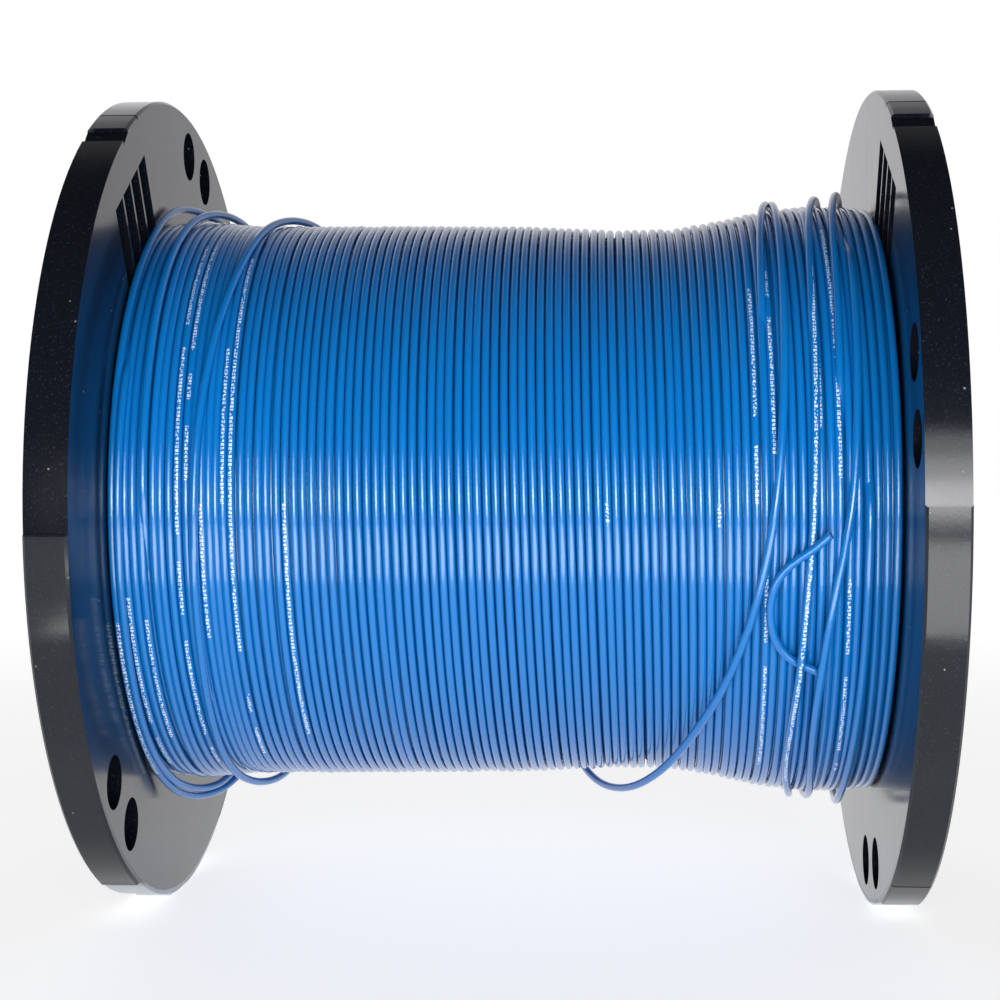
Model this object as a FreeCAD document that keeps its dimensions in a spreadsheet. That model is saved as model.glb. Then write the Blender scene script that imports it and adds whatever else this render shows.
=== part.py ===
import FreeCAD, Part
import math
import os

import Sketcher

# Wire spool: two identical moulded flanges clamped on a barrel by four tie bolts,
# with one long single-core wire wound between them.
# Frame: X is the spool's axis, Z is up, the origin is on the axis half way between the flanges.

V = FreeCAD.Vector
doc = FreeCAD.newDocument("wire_spool")

# ---------------------------------------------------------------- driving dimensions, in mm and degrees
SIZES = [
    ("flange_rad", 152.4),      # rim radius of a 12 inch flange
    ("flange_wid", 14.4),       # flange thickness over its rim
    ("half_trav", 132.0),       # half the clear width between the flanges
    ("face_thk", 3.2),          # moulded face plate
    ("rim_thk", 3.6),           # rim wall
    ("rim_cham", 0.9),          # edge break of the rim
    ("rib_thk", 2.2),           # radial ribs on the outer side
    ("rib_drop", 1.2),          # ribs stop this far under the rim's edge
    ("ring_rad", 104.0),        # ring rib in the outer side, mid radius
    ("ring_thk", 2.4),
    ("hub_rad", 31.0),          # outer radius of the arbor hub
    ("bore_rad", 19.5),         # arbor bore
    ("hub_in", 12.0),           # hub length inside the barrel
    ("spig_out", 59.35),        # spigot that centres the barrel
    ("spig_in", 55.4),
    ("spig_len", 8.0),
    ("barrel_rad", 63.5),       # 5 inch barrel
    ("barrel_in", 59.5),
    ("bolt_rad", 46.0),         # radius of the tie bolt circle
    ("boss_rad", 11.5),
    ("boss_hgt", 4.5),
    ("bolt_hole", 4.4),
    ("bolt_shank", 4.0),
    ("bolt_len", 283.5),
    ("head_af", 13.0),
    ("head_hgt", 5.3),
    ("nut_hgt", 6.5),
    ("collar_rad", 5.6),        # round collar of the lock nut
    ("collar_hgt", 1.5),
    ("wash_out", 8.0),
    ("wash_in", 4.2),
    ("wash_thk", 1.6),
    ("slot_top", 135.0),        # outer end of the start slots
    ("slot_low", 69.0),         # inner end
    ("slot_wid", 10.3),
    ("web_thk", 1.7),
    ("frame_thk", 2.4),
    ("tie_rad", 137.0),         # circle of the tie-off holes
    ("tie_hole", 9.35),
    ("tie_boss", 11.9),
    ("tie_half", 5.9),          # half the angle between the two holes of a pair
    ("tie_a", 45.5),            # pair centres, round the axis from the start slots
    ("tie_b", -106.3),
    ("tie_c", 141.0),
    ("step_deep", 1.5),         # shallow step in the rim, 60 degrees long
    ("lead_deep", 3.0),         # notch at the start of the step, between a ledge and a sloping wall
    ("lead_mid", 2.8),
    ("line_deep", 0.35),        # fine line across the step
    ("lead_left", 56.2),        # angle of the ledge about the axis, from the front upwards
    ("lead_right", 57.2),
    ("relief_deep", 1.2),       # relieved stretches of the rim on both sides of the standing flat
    ("relief_left", 26.0),      # where they start, from straight down
    ("relief_right", 19.0),
    ("notch_wid", 0.9),
    ("notch_deep", 0.5),
    ("flat_deep", 1.1),         # flats that the spool stands on
    ("flat_half", 21.0),
    ("turn_left", 56.6),        # how each flange is turned about the axis, from the front upwards
    ("turn_right", 60.0),
    ("pack_gap", 0.4),
    ("base_rad", 98.6),         # top of the lower layers
    ("wire_rad", 1.425),        # 14 gauge building wire over its jacket
]
sheet = doc.addObject("Spreadsheet::Sheet", "Sizes")
for row, (name, value) in enumerate(SIZES, start=1):
    sheet.set("A%d" % row, name)
    sheet.set("B%d" % row, str(value))
    sheet.setAlias("B%d" % row, name)
doc.recompute()
S = {name: float(value) for name, value in SIZES}


class Q:
    """A length that knows both its value and its expression over the sheet's names."""

    def __init__(self, value, text):
        self.v, self.t = float(value), text

    def __add__(self, o):
        o = q(o)
        return Q(self.v + o.v, "(%s + %s)" % (self.t, o.t))

    def __sub__(self, o):
        o = q(o)
        return Q(self.v - o.v, "(%s - %s)" % (self.t, o.t))

    def __mul__(self, o):
        o = q(o)
        return Q(self.v * o.v, "(%s * %s)" % (self.t, o.t))

    def __truediv__(self, o):
        o = q(o)
        return Q(self.v / o.v, "(%s / %s)" % (self.t, o.t))

    def __rmul__(self, o):
        return q(o) * self

    def __neg__(self):
        return Q(-self.v, "(0 - %s)" % self.t)


def q(o):
    if isinstance(o, Q):
        return o
    return Q(o, "%.6g" % o if o >= 0 else "(0 - %.6g)" % -o)


def sz(name):
    return Q(S[name], "Sizes." + name)


def cosd(a):
    a = q(a)
    return Q(math.cos(math.radians(a.v)), "cos(%s * 1 deg)" % a.t)


def sind(a):
    a = q(a)
    return Q(math.sin(math.radians(a.v)), "sin(%s * 1 deg)" % a.t)


# ---------------------------------------------------------------- helpers for bodies and sketches
def plane(body, role):
    return [f for f in body.Origin.OriginFeatures if f.Role == role][0]


def new_body(label):
    body = doc.addObject("PartDesign::Body", label)
    body.Label = label
    return body


def new_sketch(body, name, role="XY_Plane"):
    sk = body.newObject("Sketcher::SketchObject", name)
    sk.AttachmentSupport = (plane(body, role), [""])
    sk.MapMode = "FlatFace"
    return sk


def fix_point(sk, geo, pos, x, y):
    """Ties a point to the sketch's origin by two lengths from the sheet."""
    for kind, val in (("DistanceX", x), ("DistanceY", y)):
        val = q(val)
        i = sk.addConstraint(Sketcher.Constraint(kind, -1, 1, geo, pos, val.v))
        sk.setExpression("Constraints[%d]" % i, val.t)


def circle(sk, x, y, rad):
    x, y, rad = q(x), q(y), q(rad)
    g = sk.addGeometry(Part.Circle(V(x.v, y.v, 0), V(0, 0, 1), rad.v), False)
    if x.v == 0 and y.v == 0:
        sk.addConstraint(Sketcher.Constraint("Coincident", g, 3, -1, 1))
    else:
        fix_point(sk, g, 3, x, y)
    i = sk.addConstraint(Sketcher.Constraint("Radius", g, rad.v))
    sk.setExpression("Constraints[%d]" % i, rad.t)
    return g


def polygon(sk, points):
    """A closed outline through corners whose lengths come from the sheet."""
    points = [(q(x), q(y)) for x, y in points]
    at = [V(x.v, y.v, 0) for x, y in points]
    n = len(at)
    geo = [sk.addGeometry(Part.LineSegment(at[k], at[(k + 1) % n]), False) for k in range(n)]
    for k in range(n):
        sk.addConstraint(Sketcher.Constraint("Coincident", geo[k], 2, geo[(k + 1) % n], 1))
    for k in range(n):
        fix_point(sk, geo[k], 1, *points[k])


def pad(body, sk, name, length, reverse=False):
    f = body.newObject("PartDesign::Pad", name)
    f.Profile = sk
    f.Length = length.v
    f.setExpression("Length", length.t)
    f.Reversed = reverse
    doc.recompute()
    body.Tip = f
    return f


def pocket(body, sk, name, both=True):
    """A cut right through, to both sides of its sketch; it has to remove something."""
    before = body.Shape.Volume
    f = body.newObject("PartDesign::Pocket", name)
    f.Profile = sk
    f.Type = 1
    f.Midplane = both
    doc.recompute()
    body.Tip = f
    doc.recompute()
    assert body.Shape.Volume < before - 0.01, name + " cut nothing"
    return f


def revolve(body, sk, name, axis="V_Axis"):
    f = body.newObject("PartDesign::Revolution", name)
    f.Profile = sk
    f.ReferenceAxis = (sk, [axis])
    f.Angle = 360.0
    doc.recompute()
    body.Tip = f
    return f


def polar(body, feature, name, count):
    f = body.newObject("PartDesign::PolarPattern", name)
    f.Originals = [feature]
    f.Axis = (plane(body, "Z_Axis"), [""])
    f.Angle = 360.0
    f.Occurrences = count
    doc.recompute()
    body.Tip = f
    doc.recompute()
    return f


def on_axis(side, turn, x):
    """A placement whose local Z points outwards from the spool's middle, turned about the axis from the front upwards."""
    c, s = math.cos(math.radians(turn)), math.sin(math.radians(turn))
    z = V(side, 0, 0)
    lx = V(0, -c, s)
    ly = z.cross(lx)
    m = FreeCAD.Matrix(lx.x, ly.x, z.x, x, lx.y, ly.y, z.y, 0, lx.z, ly.z, z.z, 0, 0, 0, 0, 1)
    return FreeCAD.Placement(m)


# ---------------------------------------------------------------- moulded flange
# Local frame of a flange: the wire's side is the plane Z = 0, +Z points outwards, the start slots lie along +X.
R, WID = sz("flange_rad"), sz("flange_wid")
UNDER = WID - sz("rib_drop")


def make_flange(label, side, turn, step_from):
    body = new_body(label)
    # face plate and rim in one turned outline
    sk = new_sketch(body, label + "_section", "XZ_Plane")
    cham, rim = sz("rim_cham"), sz("rim_thk")
    polygon(sk, [(0, 0), (R - cham, 0), (R, cham), (R, WID - cham), (R - cham, WID), (R - rim, WID),
                 (R - rim, sz("face_thk")), (0, sz("face_thk"))])
    revolve(body, sk, label + "_disc")
    # outer side: radial ribs and two ring ribs
    sk = new_sketch(body, label + "_rib_line")
    c, n, half = cosd(15), sind(15), sz("rib_thk") / 2
    polygon(sk, [(24 * c + half * n, 24 * n - half * c), (150 * c + half * n, 150 * n - half * c),
                 (150 * c - half * n, 150 * n + half * c), (24 * c - half * n, 24 * n + half * c)])
    rib = pad(body, sk, label + "_rib", UNDER)
    polar(body, rib, label + "_ribs", 12)
    sk = new_sketch(body, label + "_ring_line")
    for r in (sz("ring_rad"), sz("barrel_rad")):
        circle(sk, 0, 0, r + sz("ring_thk") / 2)
        circle(sk, 0, 0, r - sz("ring_thk") / 2)
    pad(body, sk, label + "_rings", UNDER)
    # arbor hub, through the flange and a little way into the barrel
    sk = new_sketch(body, label + "_hub_line")
    circle(sk, 0, 0, sz("hub_rad"))
    pad(body, sk, label + "_hub", WID)
    sk = new_sketch(body, label + "_hub_in_line")
    circle(sk, 0, 0, sz("hub_rad") - 4)
    pad(body, sk, label + "_hub_inner", sz("hub_in"), reverse=True)
    # spigot that centres the barrel
    sk = new_sketch(body, label + "_spigot_line")
    circle(sk, 0, 0, sz("spig_out"))
    circle(sk, 0, 0, sz("spig_in"))
    pad(body, sk, label + "_spigot", sz("spig_len"), reverse=True)
    # block round the start slots, so that their webs are as deep as the flange
    sk = new_sketch(body, label + "_block_line")
    half = sz("slot_wid") * 2 + sz("web_thk") * 1.5 + sz("frame_thk")
    lo, hi = sz("slot_low") - sz("frame_thk"), sz("slot_top") + sz("frame_thk")
    polygon(sk, [(lo, -half), (hi, -half), (hi, half), (lo, half)])
    pad(body, sk, label + "_block", UNDER)
    # bosses of the tie-off holes
    tie = []
    for pair in ("tie_a", "tie_b", "tie_c"):
        for ang in (sz(pair) - sz("tie_half"), sz(pair) + sz("tie_half")):
            tie.append((sz("tie_rad") * cosd(ang), sz("tie_rad") * sind(ang)))
    for k in (0, 1):
        sk = new_sketch(body, label + "_tie_boss_line_%d" % k)
        for x, y in tie[k::2]:
            circle(sk, x, y, sz("tie_boss"))
        pad(body, sk, label + "_tie_bosses_%d" % k, UNDER)
    # a seat is cleared through the ribs for each tie bolt, then its floor and hole are made
    bolts = []
    for k in range(4):
        a = bolt_local(side, turn, 45 + 90 * k)
        bolts.append((sz("bolt_rad") * cosd(a), sz("bolt_rad") * sind(a)))
    sk = new_sketch(body, label + "_seat_line")
    for x, y in bolts:
        circle(sk, x, y, sz("boss_rad"))
    before = body.Shape.Volume
    seat = body.newObject("PartDesign::Pocket", label + "_seats")
    seat.Profile = sk
    seat.Type = 0
    seat.Length = (WID + 1).v
    seat.setExpression("Length", (WID + 1).t)
    seat.Reversed = True
    doc.recompute()
    body.Tip = seat
    doc.recompute()
    assert body.Shape.Volume < before - 1, "seats cut nothing"
    sk = new_sketch(body, label + "_seat_floor_line")
    for x, y in bolts:
        circle(sk, x, y, sz("boss_rad") + 1.8)
    pad(body, sk, label + "_seat_floors", sz("boss_hgt"))
    sk = new_sketch(body, label + "_bolt_hole_line")
    for x, y in bolts:
        circle(sk, x, y, sz("bolt_hole"))
    pocket(body, sk, label + "_bolt_holes")
    # tie-off holes, start slots and the arbor bore, all right through
    sk = new_sketch(body, label + "_tie_hole_line")
    for x, y in tie:
        circle(sk, x, y, sz("tie_hole"))
    pocket(body, sk, label + "_tie_holes")
    sk = new_sketch(body, label + "_slot_line")
    for k in (-1.5, -0.5, 0.5, 1.5):
        mid = (sz("slot_wid") + sz("web_thk")) * k
        w = sz("slot_wid") / 2
        polygon(sk, [(sz("slot_low"), mid - w), (sz("slot_top"), mid - w), (sz("slot_top"), mid + w), (sz("slot_low"), mid + w)])
    pocket(body, sk, label + "_start_slots")
    sk = new_sketch(body, label + "_bore_line")
    circle(sk, 0, 0, sz("bore_rad"))
    pocket(body, sk, label + "_bore")
    # shallow step over a sixth of the rim: a groove turned through 60 degrees
    sk = new_sketch(body, label + "_step_line", "XZ_Plane")
    lo = R - sz("step_deep")
    polygon(sk, [(lo, -1), (R + 3, -1), (R + 3, WID + 1), (lo, WID + 1)])
    before = body.Shape.Volume
    groove = body.newObject("PartDesign::Groove", label + "_rim_step")
    groove.Profile = sk
    groove.ReferenceAxis = (sk, ["V_Axis"])
    groove.Angle = 60.0
    groove.Reversed = step_from > 0
    doc.recompute()
    body.Tip = groove
    doc.recompute()
    assert body.Shape.Volume < before - 1, "the step cut nothing"
    # the step starts with a notch: a ledge, then a wall that slopes up to the step's floor
    deg = bolt_local(side, turn, S["lead_left" if side < 0 else "lead_right"])
    away = 1 if side < 0 else -1
    sk = new_sketch(body, label + "_lead_line")
    low = R - sz("step_deep")
    outline = [(R - sz("lead_deep"), 0), (R - sz("lead_mid"), 1.0), (low, 3.0), (R + 4, 3.0), (R + 4, 0)]
    polygon(sk, [(r * cosd(deg + away * d), r * sind(deg + away * d)) for r, d in outline])
    line = [(low - sz("line_deep"), 8.3), (low - sz("line_deep"), 8.7), (R + 4, 8.7), (R + 4, 8.3)]
    polygon(sk, [(r * cosd(deg + away * d), r * sind(deg + away * d)) for r, d in line])
    pocket(body, sk, label + "_step_lead")
    # shallow joint marks across the rim, six round it
    sk = new_sketch(body, label + "_mark_line")
    lo, hi, w = R - sz("notch_deep"), R + 2, sz("notch_wid") / 2
    c, n = cosd(-60 * away), sind(-60 * away)
    polygon(sk, [(lo * c + w * n, lo * n - w * c), (hi * c + w * n, hi * n - w * c), (hi * c - w * n, hi * n + w * c), (lo * c - w * n, lo * n + w * c)])
    mark = pocket(body, sk, label + "_mark")
    polar(body, mark, label + "_marks", 6)
    # relieved stretches of the rim, down to the flat it stands on
    a = bolt_local(side, turn, -90)
    span = S["relief_left" if side < 0 else "relief_right"]
    sk = new_sketch(body, label + "_relief_line")
    for way in (-1, 1):
        outline = [(R - sz("relief_deep"), span), (R - sz("relief_deep"), span * 0.8), (R - sz("relief_deep"), span * 0.6),
                   (R - sz("relief_deep") * 0.95, span * 0.42), (R - sz("relief_deep") * 0.8, 7.4), (R + 4, 7.4), (R + 5, span * 0.6), (R + 4, span)]
        polygon(sk, [(r * cosd(a + way * d), r * sind(a + way * d)) for r, d in outline])
    pocket(body, sk, label + "_reliefs")
    # flat on the rim that it stands on, level when the flange is at its own turn
    sk = new_sketch(body, label + "_flat_line")
    lo, hi, w = R - sz("flat_deep"), R + 4, sz("flat_half")
    c, n = cosd(a), sind(a)
    polygon(sk, [(lo * c + w * n, lo * n - w * c), (hi * c + w * n, hi * n - w * c), (hi * c - w * n, hi * n + w * c), (lo * c - w * n, lo * n + w * c)])
    pocket(body, sk, label + "_standing_flat")
    body.Placement = on_axis(side, turn, side * S["half_trav"])
    return body


def bolt_local(side, turn, world):
    """The local angle of a bolt whose angle about the axis, from the front upwards, is world."""
    return (world - turn) if side < 0 else (turn - world)


flange_left = make_flange("flange_left", -1, S["turn_left"], 1)
flange_right = make_flange("flange_right", 1, S["turn_right"], -1)

# ---------------------------------------------------------------- barrel
body = new_body("barrel")
sk = new_sketch(body, "barrel_line")
circle(sk, 0, 0, sz("barrel_rad"))
circle(sk, 0, 0, sz("barrel_in"))
pad(body, sk, "barrel_tube", sz("half_trav") * 2)
body.Placement = on_axis(1, 0, -S["half_trav"])
barrel = body
parts = [flange_left, flange_right, barrel]


# ---------------------------------------------------------------- fasteners
def ring_part(label, out, inner, thk, placement):
    a = doc.addObject("Part::Cylinder", label + "_outer")
    b = doc.addObject("Part::Cylinder", label + "_hole")
    a.setExpression("Radius", sz(out).t)
    a.setExpression("Height", sz(thk).t)
    b.setExpression("Radius", sz(inner).t)
    b.setExpression("Height", (sz(thk) + 2).t)
    b.Placement = FreeCAD.Placement(V(0, 0, -1), FreeCAD.Rotation())
    cut = doc.addObject("Part::Cut", label)
    cut.Label = label
    cut.Base, cut.Tool = a, b
    cut.Placement = placement
    return cut


def hexagon(name, af, hgt):
    p = doc.addObject("Part::Prism", name)
    p.Polygon = 6
    p.setExpression("Circumradius", (sz(af) / 2 / cosd(30)).t)
    p.setExpression("Height", sz(hgt).t)
    return p


seat_x = S["half_trav"] + S["boss_hgt"]
for k in range(4):
    a = math.radians(45 + 90 * k)
    y, z = -S["bolt_rad"] * math.cos(a), S["bolt_rad"] * math.sin(a)
    n = k + 1

    def at(side, x):
        pl = on_axis(side, 0, side * x)
        pl.Base = V(side * x, y, z)
        return pl

    parts.append(ring_part("washer_left_%d" % n, "wash_out", "wash_in", "wash_thk", at(-1, seat_x)))
    parts.append(ring_part("washer_right_%d" % n, "wash_out", "wash_in", "wash_thk", at(1, seat_x)))
    # hex bolt: head outside the left washer, shank to the right
    head = hexagon("bolt_head_%d" % n, "head_af", "head_hgt")
    bevel = doc.addObject("Part::Cone", "bolt_bevel_%d" % n)
    bevel.Radius1, bevel.Radius2, bevel.Height = 9.6, 6.2, 5.3
    bevel.setExpression("Height", sz("head_hgt").t)
    both = doc.addObject("Part::Common", "bolt_head_shape_%d" % n)
    both.Base, both.Tool = head, bevel
    shank = doc.addObject("Part::Cylinder", "bolt_shank_%d" % n)
    shank.setExpression("Radius", sz("bolt_shank").t)
    shank.setExpression("Height", sz("bolt_len").t)
    shank.Placement = FreeCAD.Placement(V(0, 0, -S["bolt_len"]), FreeCAD.Rotation())
    shank.setExpression("Placement.Base.z", (-sz("bolt_len")).t)
    fuse = doc.addObject("Part::Fuse", "tie_bolt_%d" % n)
    fuse.Label = "tie_bolt_%d" % n
    fuse.Base, fuse.Tool = both, shank
    fuse.Placement = at(-1, seat_x + S["wash_thk"])
    parts.append(fuse)
    # lock nut with a round collar
    nut = hexagon("nut_hex_%d" % n, "head_af", "nut_hgt")
    collar = doc.addObject("Part::Cylinder", "nut_collar_%d" % n)
    collar.setExpression("Radius", sz("collar_rad").t)
    collar.setExpression("Height", (sz("nut_hgt") + sz("collar_hgt")).t)
    body_nut = doc.addObject("Part::Fuse", "nut_solid_%d" % n)
    body_nut.Base, body_nut.Tool = nut, collar
    hole = doc.addObject("Part::Cylinder", "nut_hole_%d" % n)
    hole.setExpression("Radius", (sz("bolt_shank") + 0.03).t)
    hole.setExpression("Height", (sz("nut_hgt") + 6).t)
    hole.Placement = FreeCAD.Placement(V(0, 0, -2), FreeCAD.Rotation())
    cut = doc.addObject("Part::Cut", "lock_nut_%d" % n)
    cut.Label = "lock_nut_%d" % n
    cut.Base, cut.Tool = body_nut, hole
    cut.Placement = at(1, seat_x + S["wash_thk"])
    parts.append(cut)

# ---------------------------------------------------------------- wound wire: the outer shape of the coil
# Radius of the winding along the axis, over the crowns of its top turns.
PACK = [(-131.6, 106.5), (-118.0, 107.5), (-100.0, 105.6), (-60.0, 105.2), (0.0, 104.4), (36.0, 102.6), (58.0, 102.6),
        (74.0, 105.2), (90.0, 108.6), (106.0, 110.6), (120.0, 110.4), (131.6, 109.0)]
# The lower layers are one solid up to base_rad; the top layers, whose turns show, are a sleeve over them.
end_x = sz("half_trav") - sz("pack_gap")
body = new_body("wire_base_layers")
sk = new_sketch(body, "base_section", "XZ_Plane")
polygon(sk, [(-end_x, sz("barrel_rad") + 0.1), (-end_x, sz("base_rad")), (end_x, sz("base_rad")), (end_x, sz("barrel_rad") + 0.1)])
revolve(body, sk, "base_pack", "H_Axis")
parts.append(body)
body = new_body("wire_top_layers")
sk = new_sketch(body, "top_section", "XZ_Plane")
line = [(-end_x, sz("base_rad") + 0.1), (-end_x, PACK[0][1])] + PACK[1:-1] + [(end_x, PACK[-1][1]), (end_x, sz("base_rad") + 0.1)]
polygon(sk, line)
revolve(body, sk, "top_pack", "H_Axis")
parts.append(body)


def pack_radius(x):
    for (xa, ra), (xb, rb) in zip(PACK, PACK[1:]):
        if xa <= x <= xb:
            return ra + (rb - ra) * (x - xa) / (xb - xa)
    return PACK[-1][1]


# ---------------------------------------------------------------- loose stretches of the wire
def arc_path(points):
    """Straight runs joined by tangent arcs, one arc at each inner point; the arc's radius is 0.45 of the shorter run over the tangent of half the turn."""
    edges, radii, here = [], [], points[0]
    for a, b, c in zip(points, points[1:], points[2:]):
        u, w = (b - a), (c - b)
        run = min(u.Length, w.Length)
        u.normalize()
        w.normalize()
        turn = u.getAngle(w)
        back = 0.45 * run
        radii.append(back / math.tan(turn / 2))
        p, q = b - u * back, b + w * back
        bis = (w - u)
        bis.normalize()
        centre = b + bis * (radii[-1] / math.cos(turn / 2))
        mid = centre - bis * radii[-1]
        edges.append(Part.LineSegment(here, p).toShape())
        edges.append(Part.Arc(p, mid, q).toShape())
        here = q
    edges.append(Part.LineSegment(here, points[-1]).toShape())
    return Part.Wire(edges), radii


def around(x, r, deg):
    a = math.radians(deg)
    return V(x, -r * math.cos(a), r * math.sin(a))


def tube(label, points):
    wire, radii = arc_path(points)
    rad = S["wire_rad"]
    first = points[1] - points[0]
    first.normalize()
    disc = Part.Face(Part.Wire([Part.Circle(points[0], first, rad).toShape()]))
    solid = wire.makePipe(disc) if False else Part.Wire(wire.Edges).makePipeShell([disc.OuterWire], True, True, 2)
    shape = solid if solid.ShapeType == "Solid" else Part.Solid(solid)
    if shape.Volume < 0:
        shape.reverse()
    want = math.pi * rad ** 2 * wire.Length
    print(label, "length %.1f mm, smallest radius %.1f mm, radii %s, volume over section times length %.4f"
          % (wire.Length, min(radii), [round(r) for r in radii], shape.Volume / want))
    f = doc.addObject("Part::Feature", label)
    f.Label = label
    f.Shape = shape
    return f


# (x, degrees from the front upwards, height of the point over the pack)
SLACK = [(97.0, 118, 3.0), (96.6, 98, 3.6), (95.8, 78, 3.4), (95.2, 58, 3.2), (94.6, 38, 3.2), (93.6, 19, 3.2), (91.0, 1, 3.4),
         (85.5, -16, 3.8), (76.5, -32, 4.6), (65.5, -47, 5.4), (54.5, -62, 7.2), (42.0, -77, 8.6), (29.5, -93, 8.0),
         (19.5, -110, 5.0), (13.5, -128, 3.8), (10.5, -147, 3.2)]
slack = tube("wire_slack_turn", [around(x, pack_radius(x) + h, d) for x, d, h in SLACK])
parts.append(slack)
END = [(107.5, -30.6, 1.7), (103.0, -29.6, 1.7), (98.5, -28.6, 1.7), (94.5, -27.2, 1.8), (91.0, -24.6, 1.9),
       (89.1, -21.0, 2.0), (88.9, -17.0, 2.1), (90.6, -13.4, 2.3), (93.8, -10.9, 2.6), (98.5, -8.9, 3.0), (103.2, -7.2, 3.6), (107.6, -5.0, 4.4)]
end = tube("wire_outer_end", [around(x, pack_radius(x) + h, d) for x, d, h in END])
parts.append(end)

# ---------------------------------------------------------------- check and write
doc.recompute()
for o in doc.Objects:
    assert not any(s in ("Invalid", "Error") for s in o.State), (o.Name, o.State)
os.makedirs("parts", exist_ok=True)
for old in os.listdir("parts"):
    if old.endswith(".step"):
        os.remove(os.path.join("parts", old))
for o in parts:
    shape = o.Shape
    assert not shape.isNull() and shape.isValid(), o.Label
    assert len(shape.Solids) >= 1 and shape.Volume > 0, o.Label
    if len(shape.Solids) == 1 and shape.ShapeType != "Solid":
        shape = shape.Solids[0]
    shape.exportStep("parts/%s.step" % o.Label)
    b = shape.BoundBox
    print("%-18s solids %d volume %.0f box %.1f %.1f %.1f .. %.1f %.1f %.1f" % (o.Label, len(shape.Solids), shape.Volume, b.XMin, b.YMin, b.ZMin, b.XMax, b.YMax, b.ZMax))
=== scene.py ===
import math
import random

import bpy
import numpy as np
from mathutils import Matrix, Vector


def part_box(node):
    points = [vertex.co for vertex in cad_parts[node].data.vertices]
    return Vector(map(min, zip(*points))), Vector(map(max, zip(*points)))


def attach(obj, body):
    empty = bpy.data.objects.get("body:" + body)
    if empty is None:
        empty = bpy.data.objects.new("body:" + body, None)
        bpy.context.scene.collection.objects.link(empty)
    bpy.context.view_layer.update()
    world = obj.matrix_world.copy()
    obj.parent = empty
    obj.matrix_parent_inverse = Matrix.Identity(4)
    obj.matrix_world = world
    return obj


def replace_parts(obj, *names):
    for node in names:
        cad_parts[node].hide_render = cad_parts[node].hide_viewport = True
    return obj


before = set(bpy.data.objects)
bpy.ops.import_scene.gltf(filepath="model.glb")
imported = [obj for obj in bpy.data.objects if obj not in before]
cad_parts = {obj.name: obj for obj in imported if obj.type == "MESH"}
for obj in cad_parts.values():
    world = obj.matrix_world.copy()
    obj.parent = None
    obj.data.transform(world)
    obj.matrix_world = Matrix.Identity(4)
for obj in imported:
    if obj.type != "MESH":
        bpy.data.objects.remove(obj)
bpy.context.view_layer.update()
scene = bpy.context.scene
rng = np.random.default_rng(20)

# ------------------------------------------------------------------ sizes read from the frame, in metres
lo_l, hi_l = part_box("flange_left")
lo_r, hi_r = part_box("flange_right")
base_lo, base_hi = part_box("wire_base_layers")
top_lo, top_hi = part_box("wire_top_layers")
FLOOR = min(lo_l[2], lo_r[2])
RIM = hi_r[1]
HALF = 0.132
WIRE = 0.001425
PITCH = 0.00304

# ------------------------------------------------------------------ camera
yaw, pitch, roll = 0.0684, -0.0144, 0.0021
cy, sy = math.cos(yaw), math.sin(yaw)
cp, sp = math.cos(pitch), math.sin(pitch)
cr, sr = math.cos(roll), math.sin(roll)
rz = np.array([[cy, -sy, 0], [sy, cy, 0], [0, 0, 1]])
rx = np.array([[1, 0, 0], [0, cp, -sp], [0, sp, cp]])
ry = np.array([[cr, 0, sr], [0, 1, 0], [-sr, 0, cr]])
M = rz @ rx @ ry
cam = bpy.data.objects.new("camera", bpy.data.cameras.new("camera"))
scene.collection.objects.link(cam)
place = Matrix.Identity(4)
for row in range(3):
    place[row][0], place[row][1], place[row][2] = M[row][0], M[row][2], -M[row][1]
place.translation = Vector((0.2809, -4.7879, 0.0668)) * RIM
cam.matrix_world = place
cam.data.sensor_width = 36
cam.data.lens = 68.05
cam.data.clip_start = 0.01
scene.camera = cam

# ------------------------------------------------------------------ helpers


def link(obj):
    scene.collection.objects.link(obj)
    return obj


def mesh_object(name, verts, faces, uvs=None, smooth=True):
    me = bpy.data.meshes.new(name)
    verts = np.asarray(verts, dtype=np.float32)
    faces = np.asarray(faces, dtype=np.int32)
    me.vertices.add(len(verts))
    me.vertices.foreach_set("co", verts.ravel())
    n = faces.shape[1]
    me.loops.add(faces.size)
    me.loops.foreach_set("vertex_index", faces.ravel())
    me.polygons.add(len(faces))
    me.polygons.foreach_set("loop_start", np.arange(0, faces.size, n, dtype=np.int32))
    me.polygons.foreach_set("loop_total", np.full(len(faces), n, dtype=np.int32))
    me.polygons.foreach_set("use_smooth", np.full(len(faces), smooth, dtype=bool))
    if uvs is not None:
        lay = me.uv_layers.new(name="along")
        lay.data.foreach_set("uv", np.asarray(uvs, dtype=np.float32).ravel())
    me.update(calc_edges=True)
    me.validate()
    return link(bpy.data.objects.new(name, me))


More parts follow.
